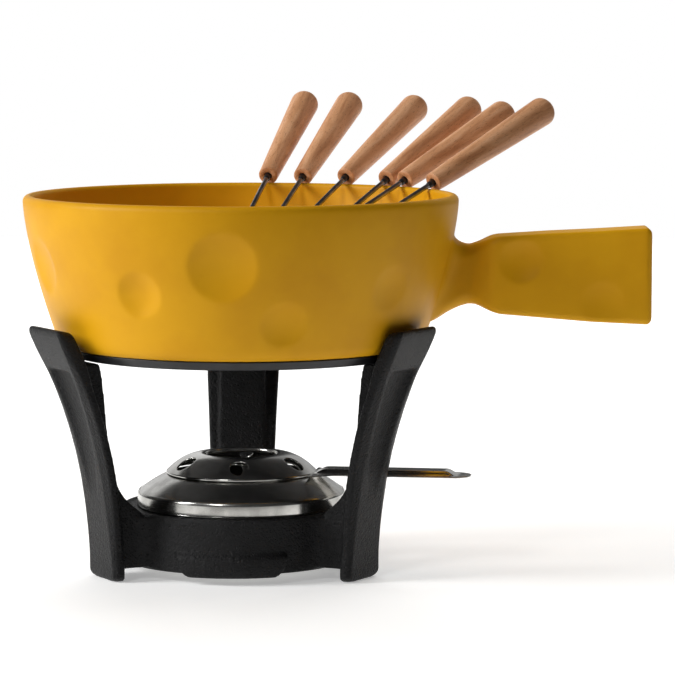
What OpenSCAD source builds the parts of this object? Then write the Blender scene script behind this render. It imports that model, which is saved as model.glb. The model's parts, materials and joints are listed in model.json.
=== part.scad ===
// Fondue set: a stoneware pot on a cast iron stand, a spirit burner with a regulator, and six forks.
// +X runs along the pot's handle, +Z is up, Z = 0 is the table, and the origin is on the stand's axis.

/* [Pot] */
// Outer radius of the bowl at its rim
rim_r = 109.3; // [109:0.1:110.5]
// Height of the rim above the table
rim_z = 189.3; // [189:0.1:190]
// Outer radius of the bowl where its side turns under
bowl_foot_r = 93.9; // [93:0.1:94]
// Thickness of the stoneware wall
wall = 5; // [5:0.1:5.5]
// Distance from the pot's axis to the end of its handle
handle_reach = 205.6; // [198:0.1:212]
// Thickness of the handle's paddle
paddle_t = 27; // [24:1:30]
// How far the pot sits off the stand's axis
pot_x = 2.9; // [0:0.1:2.9]

/* [Stand] */
// Outer radius of the ring that carries the burner
ring_r = 57.5; // [57.5:0.1:58]
// Height of the ring's lip above the table
ring_z = 32.8; // [32.8:0.1:33]
// Height of the ledges that carry the pot
ledge_z = 108.8; // [108:0.1:108.8]
// Width of the rib behind each leg
rib_w = 24; // [20:1:26]

/* [Burner] */
// Outer radius of the burner's cover
burner_r = 52.5; // [51:0.1:52.5]
// Thickness of the pressed steel
sheet = 0.9; // [0.7:0.1:1]
// How far the burner sits off the stand's axis
burner_x = 2.6; // [0:0.1:2.6]
// Number of vent holes round the regulator
vents = 6; // [4:1:6]
// Which way the regulator's handle points, about the burner's axis
lever_angle = -7.5; // [-8:0.5:0]

/* [Forks] */
// Length of the steel rod from the wood to the tips
rod_l = 162; // [158:1:162]
// Radius of the rod
rod_r = 1.25; // [1:0.05:1.3]
// Length of the wooden handle
wood_l = 92.6; // [84:0.2:93]
// Radius of the wood at the rod
wood_thin_r = 5.1; // [4.5:0.05:5.1]
// Radius of the wood near its rounded end
wood_thick_r = 7.65; // [6.5:0.05:7.65]

/* [Hidden] */
$fn = 96;

FORKS = 6;

// Clearance between pieces that only rest on each other
gap = 0.3;

// Pot
base_z = ledge_z + gap;
base_t = 4.5;
base_low_r = 85.6;
base_top_r = 88;
bowl_z = base_z + base_t;
bowl_turn_z = bowl_z + 7.9;
floor_z = bowl_z + 6;
floor_fillet = 12;
rim_round = 3;
wall_steps = 14;
wall_swell = 1.45;
neck_t = 20;
neck_x = 117;
paddle_x = 126;
handle_end_round = 4;

// Hollows pressed into the bowl's outside: angle about Z, height, radius and depth
bowl_hollows = [
    [-156.5, 156, 14.5, 2.2],
    [-116.5, 146, 11.6, 2.2],
    [-92.5, 160, 17, 2.6],
    [-75.5, 132, 11.5, 1.8],
    [-42.5, 147.5, 11.7, 1.2],
    [34, 158, 14, 2.2],
    [62, 138, 11.5, 1.8],
    [92, 157, 16.5, 2.6],
    [121, 136, 11.5, 1.8],
    [150, 159, 13, 2.2],
    [178, 139, 12, 1.8]
];
// The same on the handle: X, height, radius, depth and side
handle_hollows = [
    [140.2, 156.6, 11.2, 1.6, -1],
    [181.1, 135.6, 11, 1.0, -1],
    [160, 150, 11.2, 1.4, 1]
];

// Stand
leg_angles = [210, 330, 90];
ring_low_z = 5;
ring_bore_r = 49;
ring_step_r = 55.4;
ring_step_z = ring_z - 0.9;
block_z = 3.4;
block_top_z = 15;
block_r = ring_r + 1.6;
block_half_w = 29;
leg_top_z = 125;
leg_bevel = 3.4;
rib_top_r = 94;
web_fillet = 12;
web_low_z = ring_low_z + 0.5;
web_out_r = 67;
web_out_z = 40.2;
web_split_r = 58.4;
web_split_z = 33.2;

// Burner
dish_r = 46;
dish_low_z = 10;
flange_z = ring_step_z + gap;
cover_low_z = flange_z + sheet;
cover_band_z = 39.6;
cover_top_z = 48.2;
cover_top_r = 37.4;
core_top_z = 26;
gauze_t = 0.7;
dome_low_r = 38;
dome_low_z = cover_top_z + gap;
dome_top_z = 58.5;
mouth_r = 18.7;
vent_pcd_r = 31;
vent_r = 4.75;
vent_offset = 5;
lever_reach = 117;
lever_w = 20;
lever_rib_w = 11;
lever_rib_h = 2.6;

// Forks: angle round the rim, direction seen from above, slope, and how far the wood's end is out from
// the rim's edge and up from its crown
fork_rim_angle = [84.8, 74.8, 61.4, 47.5, 40.2, 26.4];
fork_heading = [77.1, 72.5, 62.6, 56.2, 49.2, 43.1];
fork_slope = [24.4, 24.3, 23.2, 23.3, 21.6, 23.5];
fork_out = [-1.8, -1.2, -2, -1.4, -1.4, -1.1];
fork_up = [3.5, 3.2, 3.5, 3.1, 3.3, 3.2];
tine_l = 30;
tine_r = 0.9;
tine_spread = 2.4;
ferrule_l = 4;
ferrule_r = 1.8;

// Points along an arc about (x, y), from angle a to angle b
function arc(x, y, r, a, b, n = 6) =
    [for (i = [0:n]) let (t = a + (b - a) * i / n) [x + r * cos(t), y + r * sin(t)]];

// Outer radius of the bowl's side at height z
function bowl_r(z) =
    let (t = (z - bowl_turn_z) / (rim_z - rim_round - bowl_turn_z))
    bowl_foot_r + (rim_r - bowl_foot_r) * (1 - pow(max(0, 1 - t), wall_swell));

// Outline of half the bowl, from the middle of its underside round the rim to the middle of its floor
function bowl_outline() =
    let (
        top = rim_z - rim_round,
        outside = [for (i = [0:wall_steps])
            let (z = bowl_turn_z + (top - bowl_turn_z) * i / wall_steps) [bowl_r(z), z]],
        corner_z = floor_z + floor_fillet,
        inside = [for (i = [wall_steps:-1:0])
            let (z = corner_z + (top - corner_z) * i / wall_steps) [bowl_r(z) - wall, z]],
        corner_r = bowl_r(corner_z) - wall - floor_fillet
    )
    concat(
        [[0, bowl_z], [base_top_r + 1, bowl_z], [bowl_foot_r - 2.1, bowl_z + 3.7]],
        outside,
        arc(rim_r - rim_round, top, rim_round, 15, 90),
        arc(rim_r - wall + rim_round - 1, top + 1, rim_round - 1, 100, 165),
        inside,
        arc(corner_r, corner_z, floor_fillet, -15, -90),
        [[0, floor_z]]
    );

// Side view of the handle: its neck, then the deeper paddle
handle_side = concat(
    [[87, 125.6], [93.9, 126.4], [98.7, 127.3], [109.1, 133], [114.3, 134.5], [117.9, 134.3]],
    [[124.9, 131.3], [129.2, 129.9], [175.7, 125.9]],
    arc(handle_reach - handle_end_round, 124.5 + handle_end_round, handle_end_round, -92, 0),
    arc(handle_reach - handle_end_round, 173.1 - handle_end_round, handle_end_round, 0, 94),
    [[178.1, 171.4], [154.5, 170.4], [129.2, 168.7], [125.7, 168], [120.3, 165.9], [115, 164.2]],
    [[109.7, 165.1], [107, 168.9], [100, 171]]
);

// Half of the handle seen from above, with X, then half its thickness
handle_plan = concat(
    [[80, neck_t / 2 + 2], [104, neck_t / 2 + 1], [112, neck_t / 2], [neck_x, neck_t / 2]],
    [[paddle_x, paddle_t / 2]],
    arc(handle_reach - 6, paddle_t / 2 - 6, 6, 90, 0)
);

// Leg outlines, each a table of height against a size
leg_outer = [
    [0, 75.3], [2.5, 75.7], [9, 75.8], [23, 77], [36, 78.5], [49, 80.3], [62, 82.9], [74, 86.1],
    [86, 89.9], [96, 93.7], [103, 96.6], [105.5, 97.7], [112, 101.1], [122, 106.1], [leg_top_z, 107.2]
];
leg_face_half = [[0, 12], [2.5, 13.7], [20, 12.5], [40, 11.8], [62, 11.8], [81, 12.5],
    [96, 14.3], [110, 16.5], [122, 17.5], [leg_top_z, 15.5]];
leg_side_half = [[0, 12.4], [2.5, 14.1], [20, 15.5], [45, 17], [70, 18], [90, 19], [122, 19],
    [leg_top_z, 17]];
leg_depth = [[0, 5.9], [2.5, 6.3], [96, 6.3], [112, 9], [leg_top_z, 9]];
groove_depth = [[45, 0], [60, 1.2], [103, 2.4], [105.5, 0]];
groove_half = [[45, 4], [60, 7], [105.5, 11.5]];

// Section of a leg at height z, as radius and sideways distance
function leg_section(z) =
    let (
        r = lookup(z, leg_outer),
        f = lookup(z, leg_face_half),
        w = lookup(z, leg_side_half),
        d = lookup(z, leg_depth),
        g = lookup(z, groove_half)
    )
    [[r, -f], [r, -g], [r - lookup(z, groove_depth), 0], [r, g], [r, f],
        [r - leg_bevel, w], [r - d, w], [r - d, -w], [r - leg_bevel, -w]];

// A closed solid through sections that all have the same number of points
module loft(heights, sections) {
    n = len(sections[0]);
    last = len(sections) - 1;
    polyhedron(
        points = [for (k = [0:last]) for (p = sections[k]) [p[0], p[1], heights[k]]],
        faces = concat(
            [[for (i = [0:n - 1]) i]],
            [[for (i = [n - 1:-1:0]) last * n + i]],
            [for (k = [0:last - 1]) for (i = [0:n - 1])
                let (a = k * n + i, b = k * n + (i + 1) % n) [a, a + n, b + n]],
            [for (k = [0:last - 1]) for (i = [0:n - 1])
                let (a = k * n + i, b = k * n + (i + 1) % n) [a, b + n, b]]
        )
    );
}

module leg_plate() {
    heights = [for (row = leg_outer) row[0]];
    loft(heights, [for (z = heights) leg_section(z)]);
}

// Rib behind the plate, with the ledge that carries the pot at its top
module leg_rib() {
    side = [[rib_top_r, ledge_z], [82, ledge_z], [81.4, ledge_z - 0.6], [80.7, 104], [79.8, 96],
        [78.7, 86], [77.9, 66], [76.6, 60], [73.3, 50], [69.8, 43.5], [web_out_r, web_out_z],
        [65, 38], [60, 34.5], [web_split_r, web_split_z], [web_out_r, web_split_z],
        [web_out_r, web_low_z], [73, web_low_z], [74.5, 30], [80.5, 68], [87.5, 90]];
    translate([0, rib_w / 2, 0])
        rotate([90, 0, 0])
            linear_extrude(rib_w)
                polygon(side);
}

module leg(angle) {
    color("#232323")
        rotate([0, 0, angle])
            union() {
                leg_plate();
                leg_rib();
            }
}

// Web from the ring to a leg, flared upwards, with a round into the ring on each side
module leg_web() {
    out = ring_r + web_fillet;
    side = rib_w / 2 + web_fillet;
    x = sqrt(out * out - side * side);
    translate([0, rib_w / 2, 0])
        rotate([90, 0, 0])
            linear_extrude(rib_w)
                polygon([[web_out_r, web_low_z], [web_out_r, web_split_z], [web_split_r, web_split_z],
                    [ring_r - 1, ring_z - 1], [ring_r - 1, web_low_z]]);
    translate([0, 0, web_low_z + 0.5])
        linear_extrude(ring_z - web_low_z - 1.5)
            for (s = [0, 1])
                mirror([0, s])
                    difference() {
                        polygon([[ring_r - 5, 0], [ring_r - 5, side * ring_r / out],
                            [x * ring_r / out, side * ring_r / out], [x, side], [x, 0]]);
                        translate([x, side])
                            circle(web_fillet + 0.25);
                    }
}

module cradle_ring() {
    color("#1e1e1e")
        difference() {
            union() {
                translate([0, 0, ring_low_z])
                    cylinder(r = ring_r, h = ring_z - ring_low_z);
                for (a = leg_angles)
                    rotate([0, 0, a]) {
                        leg_web();
                        rotate([0, 0, 180])
                            ring_block();
                    }
            }
            cylinder(r = ring_bore_r, h = 2 * ring_z);
            translate([0, 0, ring_step_z])
                cylinder(r = ring_step_r, h = ring_z);
        }
}

// Thicker foot of the ring's wall, opposite a leg
module ring_block() {
    translate([0, 0, block_z])
        linear_extrude(block_top_z - block_z)
            intersection() {
                difference() {
                    circle(block_r);
                    circle(ring_r - 2);
                }
                translate([0, -block_half_w])
                    square([block_r + 1, 2 * block_half_w]);
            }
}

// A round hollow, as the ball that cuts it: its edge has radius r where it is depth d deep
module hollow_ball(r, d) {
    ball_r = (r * r + d * d) / (2 * d);
    translate([ball_r - d, 0, 0])
        sphere(ball_r);
}

module pot_bowl() {
    color("#dca014")
        translate([pot_x, 0, 0])
            difference() {
                union() {
                    rotate_extrude()
                        polygon(bowl_outline());
                    difference() {
                        pot_handle();
                        rotate_extrude()
                            polygon(bowl_core());
                    }
                }
                for (h = bowl_hollows)
                    rotate([0, 0, h[0]])
                        translate([bowl_r(h[1]), 0, h[1]])
                            hollow_ball(h[2], h[3]);
                for (h = handle_hollows)
                    translate([h[0], h[4] * paddle_t / 2, h[1]])
                        rotate([0, 0, h[4] * 90])
                            hollow_ball(h[2], h[3]);
            }
}

// Everything inside the middle of the bowl's wall, which the handle stays out of
function bowl_core() = concat(
    [[0, bowl_z + 1], [bowl_foot_r - 8, bowl_z + 1]],
    [for (i = [0:wall_steps])
        let (z = bowl_turn_z + (rim_z - bowl_turn_z) * i / wall_steps) [bowl_r(z) - wall / 2, z]],
    [[0, rim_z]]
);

module pot_handle() {
    intersection() {
        translate([0, paddle_t, 0])
            rotate([90, 0, 0])
                linear_extrude(2 * paddle_t)
                    polygon(handle_side);
        translate([0, 0, bowl_z])
            linear_extrude(rim_z - bowl_z)
                for (s = [0, 1])
                    mirror([0, s])
                        polygon(concat([[80, 0]], handle_plan, [[handle_reach, 0]]));
    }
}

module pot_base() {
    color("#1b1b1b")
        translate([pot_x, 0, 0])
            rotate_extrude()
                polygon([[0, base_z], [base_low_r - 0.6, base_z], [base_low_r, base_z + 0.6],
                    [base_top_r, bowl_z], [0, bowl_z]]);
}

module fuel_dish() {
    color("#b4b4b0")
        translate([burner_x, 0, 0])
            rotate_extrude()
                polygon([[0, dish_low_z], [dish_r - 3, dish_low_z], [dish_r, dish_low_z + 3],
                    [dish_r, flange_z], [burner_r - 0.4, flange_z], [burner_r - 0.4, cover_low_z],
                    [dish_r - sheet, cover_low_z], [dish_r - sheet, dish_low_z + 3],
                    [dish_r - 3 - sheet / 2, dish_low_z + sheet], [0, dish_low_z + sheet]]);
}

module ceramic_core() {
    color("#e8e4d8")
        translate([burner_x, 0, dish_low_z + sheet])
            cylinder(r1 = dish_r - 5, r2 = dish_r - 3, h = core_top_z - dish_low_z - sheet);
}

module wire_gauze() {
    color("#9a9a96")
        translate([burner_x, 0, core_top_z])
            cylinder(r = dish_r - sheet - 0.1, h = gauze_t);
}

module burner_cover() {
    inner = burner_r - sheet;
    color("#c8c8c4")
        translate([burner_x, 0, 0])
            rotate_extrude()
                polygon(concat(
                    [[inner, cover_low_z], [burner_r, cover_low_z], [burner_r, cover_band_z - 0.8]],
                    arc(burner_r - 1.5, cover_band_z - 0.8, 1.5, 20, 60, 3),
                    [[cover_top_r, cover_top_z], [cover_top_r, cover_top_z - sheet]],
                    [[inner - 0.7, cover_band_z - 0.9], [inner, cover_band_z - 1.8]]
                ));
}

// Height of the regulator's outer face at radius r: a shallow dome that flattens towards the mouth
function dome_z(r) =
    dome_top_z - (dome_top_z - dome_low_z - 1) * pow((r - mouth_r) / (dome_low_r - mouth_r), 2.2);

// Outline of a domed shell that lies drop below the regulator's outer face, from radius a to radius b
function dome_shell(a, b, drop, t) = concat(
    [for (i = [0:8]) let (r = a + (b - a) * i / 8) [r, dome_z(r) - drop]],
    [for (i = [8:-1:0]) let (r = a + (b - a) * i / 8) [r, dome_z(r) - drop - t]]
);

module vent_holes(turn) {
    for (i = [0:vents - 1])
        rotate([0, 0, -90 + turn + 360 / vents * i])
            translate([vent_pcd_r, 0, cover_top_z - 6])
                cylinder(r = vent_r, h = 20);
}

// Fixed shell under the regulator, with its own ring of vent holes
module vent_collar() {
    color("#8c8c88")
        translate([burner_x, 0, 0])
            difference() {
                rotate_extrude()
                    polygon(dome_shell(mouth_r + 1, cover_top_r - 0.9, sheet + 0.5, 0.7));
                vent_holes(-vent_offset);
            }
}

module regulator() {
    color("#d0d0cc")
        translate([burner_x, 0, 0])
            difference() {
                union() {
                    rotate_extrude()
                        polygon(concat(
                            [[mouth_r - 0.7, dome_top_z - 2.4], [mouth_r - 0.7, dome_top_z - 0.5]],
                            [for (i = [0:10])
                                let (r = mouth_r + (dome_low_r - mouth_r) * i / 10) [r, dome_z(r)]],
                            [[dome_low_r, dome_low_z], [dome_low_r - sheet, dome_low_z]],
                            [for (i = [10:-1:0])
                                let (r = mouth_r + (dome_low_r - sheet - mouth_r) * i / 10) [r, dome_z(r) - sheet]],
                            [[mouth_r, dome_top_z - 2.4]]
                        ));
                    rotate([0, 0, lever_angle])
                        lever();
                }
                vent_holes(0);
            }
}

// Flat strip with a raised rib along its middle and a round tip
module lever() {
    root = dome_low_r - sheet;
    tip = lever_reach - lever_w / 2;
    translate([0, 0, dome_low_z])
        difference() {
            union() {
                linear_extrude(1.4) {
                    translate([root - 6, -lever_w / 2])
                        square([tip - root + 6, lever_w]);
                    translate([tip, 0])
                        circle(lever_w / 2);
                    polygon([[root - 6, -lever_w], [root + 12, -lever_w / 2], [root + 12, lever_w / 2],
                        [root - 6, lever_w]]);
                }
                linear_extrude(lever_rib_h)
                    translate([root - 1, -lever_rib_w / 2])
                        square([tip - root - 4, lever_rib_w]);
            }
            translate([0, 0, -1])
                cylinder(r = root, h = 10);
        }
}

// Puts a fork that lies along +Z, with its wood starting at Z = 0, where it rests on the rim
module place_fork(i) {
    r = rim_r + fork_out[i];
    translate([pot_x + r * cos(fork_rim_angle[i]), r * sin(fork_rim_angle[i]), rim_z + fork_up[i]])
        rotate([0, 90 - fork_slope[i], fork_heading[i]])
            children();
}

// Rod that ends in two prongs, side by side
module fork_tines(i) {
    root = rod_l - tine_l;
    color("#9c9ca0")
        place_fork(i) {
            translate([0, 0, -root])
                cylinder(r = rod_r, h = root - ferrule_l);
            translate([-rod_r - 0.15, -tine_spread - tine_r - 0.1, -root - 1.2])
                cube([2 * rod_r + 0.3, 2 * (tine_spread + tine_r) + 0.2, 2.4]);
            for (s = [-1, 1])
                translate([0, s * tine_spread, -rod_l]) {
                    translate([0, 0, 3])
                        cylinder(r = tine_r, h = tine_l - 3);
                    cylinder(r1 = 0.25, r2 = tine_r, h = 3);
                }
        }
}

module fork_ferrule(i) {
    color("#202022")
        place_fork(i)
            translate([0, 0, -ferrule_l])
                cylinder(r = ferrule_r, h = ferrule_l);
}

module fork_handle(i) {
    end = wood_l - wood_thick_r * 0.8;
    color("#c68c64")
        place_fork(i)
            rotate_extrude()
                polygon(concat(
                    [[0, 0], [wood_thin_r - 0.6, 0], [wood_thin_r, 0.6], [wood_thick_r, end]],
                    [for (a = [15:15:90]) [wood_thick_r * cos(a), end + wood_thick_r * 0.8 * sin(a)]]
                ));
}

cradle_ring();
leg(leg_angles[0]);  // leg_left
leg(leg_angles[1]);  // leg_right
leg(leg_angles[2]);  // leg_back
pot_bowl();
pot_base();
fuel_dish();
ceramic_core();
wire_gauze();
burner_cover();
vent_collar();
regulator();
for (i = [0:FORKS - 1]) {
    fork_tines(i);
    fork_ferrule(i);
    fork_handle(i);
}
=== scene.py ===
# A stoneware fondue pot on its cast iron stand, with a spirit burner and six forks.
import json
import math

import bmesh
import bpy
import numpy as np
from mathutils import Matrix, Vector


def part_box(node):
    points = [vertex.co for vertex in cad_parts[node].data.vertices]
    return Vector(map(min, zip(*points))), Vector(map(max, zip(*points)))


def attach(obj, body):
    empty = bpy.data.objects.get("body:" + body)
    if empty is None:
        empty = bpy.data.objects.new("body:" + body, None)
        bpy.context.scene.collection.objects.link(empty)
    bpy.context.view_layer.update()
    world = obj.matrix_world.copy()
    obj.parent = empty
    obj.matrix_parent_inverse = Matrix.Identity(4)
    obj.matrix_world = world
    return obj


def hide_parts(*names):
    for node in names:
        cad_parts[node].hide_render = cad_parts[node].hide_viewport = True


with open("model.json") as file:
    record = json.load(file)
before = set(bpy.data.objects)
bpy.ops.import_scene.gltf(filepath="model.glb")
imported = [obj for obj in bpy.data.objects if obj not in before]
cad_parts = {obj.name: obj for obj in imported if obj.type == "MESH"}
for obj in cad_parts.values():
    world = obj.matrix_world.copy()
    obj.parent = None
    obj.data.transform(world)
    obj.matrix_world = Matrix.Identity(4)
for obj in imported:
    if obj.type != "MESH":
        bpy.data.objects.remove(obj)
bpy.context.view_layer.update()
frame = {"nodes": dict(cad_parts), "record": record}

mm = 0.001


# ---- small helpers

def linear(hexColour):
    # sRGB hex to the linear colour that the shaders want
    channels = [int(hexColour[i:i + 2], 16) / 255 for i in (1, 3, 5)]
    return tuple(c / 12.92 if c <= 0.04045 else ((c + 0.055) / 1.055) ** 2.4 for c in channels) + (1.0,)


def ease(t):
    # from 0 to 1, with a soft start and a soft end
    return t * t * (3 - 2 * t)


def addNode(tree, kind, inputs=None, stops=None, **settings):
    # one node with its settings, its colour stops, and a value or a link for each input
    node = tree.nodes.new("ShaderNode" + kind)
    for name, value in settings.items():
        setattr(node, name, value)
    for name, value in (inputs or {}).items():
        if isinstance(value, bpy.types.NodeSocket):
            tree.links.new(value, node.inputs[name])
        else:
            node.inputs[name].default_value = value
    for i, (place, colour) in enumerate(stops or []):
        stop = node.color_ramp.elements[i] if i < 2 else node.color_ramp.elements.new(place)
        stop.position, stop.color = place, colour
    return node


def startMaterial(name):
    material = bpy.data.materials.new(name)
    material.use_nodes = True
    tree = material.node_tree
    return material, tree, tree.nodes["Principled BSDF"]


def makePiece(name, points, faces, material, sharp=None):
    # a mesh object from points in metres, with its faces turned outwards
    mesh = bpy.data.meshes.new(name)
    mesh.from_pydata([tuple(p) for p in points], [], faces)
    work = bmesh.new()
    work.from_mesh(mesh)
    bmesh.ops.remove_doubles(work, verts=work.verts, dist=1e-6)
    bmesh.ops.recalc_face_normals(work, faces=work.faces)
    work.to_mesh(mesh)
    work.free()
    mesh.polygons.foreach_set("use_smooth", [True] * len(mesh.polygons))
    if sharp:
        mesh.set_sharp_from_angle(angle=math.radians(sharp))
    mesh.materials.append(material)
    piece = bpy.data.objects.new(name, mesh)
    bpy.context.scene.collection.objects.link(piece)
    return piece


def settle(piece):
    # the piece's modifiers become its mesh
    graph = bpy.context.evaluated_depsgraph_get()
    mesh = bpy.data.meshes.new_from_object(piece.evaluated_get(graph))
    piece.modifiers.clear()
    piece.data = mesh
    mesh.polygons.foreach_set("use_smooth", [True] * len(mesh.polygons))
    return piece


def roundCorners(outline, steps=4):
    # rows are radius, height and the size of the round at that corner, in mm
    out = []
    for i, (r, z, size) in enumerate(outline):
        here = np.array([r, z], float)
        if not size:
            out.append(here)
            continue
        back = np.array(outline[i - 1][:2], float) - here
        ahead = np.array(outline[(i + 1) % len(outline)][:2], float) - here
        back *= size / np.linalg.norm(back)
        ahead *= size / np.linalg.norm(ahead)
        out += [here + back * (1 - t) ** 2 + ahead * t ** 2 for t in np.linspace(0, 1, steps + 1)]
    return out


def latheMesh(outline, segments, closed):
    # turns an outline of (radius, height) in mm about Z
    points, rows, faces = [], [], []
    turns = np.linspace(0, 2 * math.pi, segments, endpoint=False)
    for r, z in outline:
        start = len(points)
        if r < 1e-6:
            points.append((0, 0, z * mm))
            rows.append([start] * segments)
        else:
            points += [(r * mm * math.cos(a), r * mm * math.sin(a), z * mm) for a in turns]
            rows.append(list(range(start, start + segments)))
    pairs = list(zip(rows, rows[1:])) + ([(rows[-1], rows[0])] if closed else [])
    for low, high in pairs:
        for i in range(segments):
            j = (i + 1) % segments
            face = []
            for corner in (low[i], low[j], high[j], high[i]):
                if corner not in face:
                    face.append(corner)
            if len(face) > 2:
                faces.append(face)
    return points, faces


def lathe(name, outline, material, centreX=0.0, segments=160, closed=False, sharp=None):
    points, faces = latheMesh(outline, segments, closed)
    return makePiece(name, [(x + centreX, y, z) for x, y, z in points], faces, material, sharp)


def softCurve(table, blur):
    # a size along a table of rows, with the table's corners rounded off over blur
    places, sizes = np.array(table, float).T
    fine = np.arange(places[0] - 2 * blur, places[-1] + 2 * blur, 0.1)
    line = np.interp(fine, places, sizes)
    width = max(2, int(blur / 0.1))
    weights = np.hanning(width + 2)
    padded = np.pad(line, width, mode="edge")
    line = np.convolve(padded, weights / weights.sum(), mode="same")[width:-width]
    return lambda at: np.interp(at, fine, line)


def fillLoop(points, faces, loop, across, up):
    # a grid of quads across by up inside a loop of existing points that starts at a corner
    corners = np.array([points[i] for i in loop])
    middle = corners.mean(0)
    total = len(loop)
    index = {}
    for j in range(up + 1):
        for i in range(across + 1):
            a, b = 2 * i / across - 1, 2 * j / up - 1
            reach = max(abs(a), abs(b))
            if reach < 1e-9:
                place = 0.0
            else:
                a, b = a / reach, b / reach
                if b <= -1 + 1e-9:
                    place = (a + 1) / 2 * across
                elif a >= 1 - 1e-9:
                    place = across + (b + 1) / 2 * up
                elif b >= 1 - 1e-9:
                    place = across + up + (1 - a) / 2 * across
                else:
                    place = 2 * across + up + (1 - b) / 2 * up
            if reach > 1 - 1e-9:
                index[i, j] = loop[int(round(place)) % total]
                continue
            k = int(place) % total
            edge = corners[k] + (corners[(k + 1) % total] - corners[k]) * (place - int(place))
            index[i, j] = len(points)
            points.append(tuple(middle + (edge - middle) * reach))
    for j in range(up):
        for i in range(across):
            faces.append([index[i, j], index[i + 1, j], index[i + 1, j + 1], index[i, j + 1]])


def tube(path, radii, sides):
    # a closed round tube along a path in mm
    path = np.array(path, float)
    points, faces = [], []
    side = None
    for i, here in enumerate(path):
        ahead = path[min(i + 1, len(path) - 1)] - path[max(i - 1, 0)]
        ahead /= np.linalg.norm(ahead)
        if side is None:
            side = np.cross(ahead, (0.0, 0.0, 1.0) if abs(ahead[2]) < 0.9 else (1.0, 0.0, 0.0))
        side = side - ahead * (side @ ahead)
        side /= np.linalg.norm(side)
        other = np.cross(ahead, side)
        for a in np.linspace(0, 2 * math.pi, sides, endpoint=False):
            points.append(tuple((here + radii[i] * (math.cos(a) * side + math.sin(a) * other)) * mm))
    for i in range(len(path) - 1):
        for k in range(sides):
            n = (k + 1) % sides
            faces.append([i * sides + k, i * sides + n, (i + 1) * sides + n, (i + 1) * sides + k])
    faces.append(list(range(sides)))
    faces.append([(len(path) - 1) * sides + k for k in range(sides)])
    return points, faces


def joinParts(parts):
    points, faces = [], []
    for somePoints, someFaces in parts:
        start = len(points)
        points += list(somePoints)
        faces += [[start + i for i in face] for face in someFaces]
    return points, faces


# ---- materials

def makeGlaze():
    # Stoneware under a satin yellow glaze, dipped and fired: soft wide highlights, a faint orange peel,
    # a warmer tone where the glaze pools and a thinner, browner one along the rim
    look = {"body": "#dba010", "pooled": "#d2960c", "thin": "#b37a12", "peel": 2.6, "mottle": 34}
    material, tree, shader = startMaterial("satinYellowGlaze")
    place = addNode(tree, "TexCoord").outputs["Object"]
    mottle = addNode(tree, "TexNoise", {"Vector": place, "Scale": 1 / (look["mottle"] * mm), "Detail": 4.0})
    colour = addNode(tree, "ValToRGB", {"Fac": mottle.outputs["Fac"]},
                     [(0.32, linear(look["pooled"])), (0.62, linear(look["body"]))])
    speck = addNode(tree, "TexNoise", {"Vector": place, "Scale": 1 / (0.9 * mm), "Detail": 1.0})
    speckMask = addNode(tree, "ValToRGB", {"Fac": speck.outputs["Fac"]},
                        [(0.70, (0, 0, 0, 1)), (0.80, (0.35, 0.35, 0.35, 1))])
    specked = addNode(tree, "MixRGB", {"Fac": speckMask.outputs["Color"], "Color1": colour.outputs["Color"],
                                       "Color2": linear(look["pooled"])})
    # the glaze runs thin over the sharpest edge, at the crown of the rim
    height = addNode(tree, "SeparateXYZ", {"Vector": place})
    rim = addNode(tree, "MapRange", {"Value": height.outputs["Z"], "From Min": bowl["rimZ"] * mm - 1.1 * mm,
                                     "From Max": bowl["rimZ"] * mm, "To Max": 0.45})
    edged = addNode(tree, "MixRGB", {"Fac": rim.outputs["Result"], "Color1": specked.outputs["Color"],
                                     "Color2": linear(look["thin"])})
    tree.links.new(edged.outputs["Color"], shader.inputs["Base Color"])
    rough = addNode(tree, "MapRange", {"Value": mottle.outputs["Fac"], "To Min": 0.44, "To Max": 0.53})
    tree.links.new(rough.outputs["Result"], shader.inputs["Roughness"])
    peel = addNode(tree, "TexNoise", {"Vector": place, "Scale": 1 / (look["peel"] * mm), "Detail": 2.0})
    bump = addNode(tree, "Bump", {"Height": peel.outputs["Fac"], "Strength": 0.10, "Distance": 0.25 * mm})
    tree.links.new(bump.outputs["Normal"], shader.inputs["Normal"])
    shader.inputs["IOR"].default_value = 1.52
    shader.inputs["Specular IOR Level"].default_value = 0.15
    return material


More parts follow.
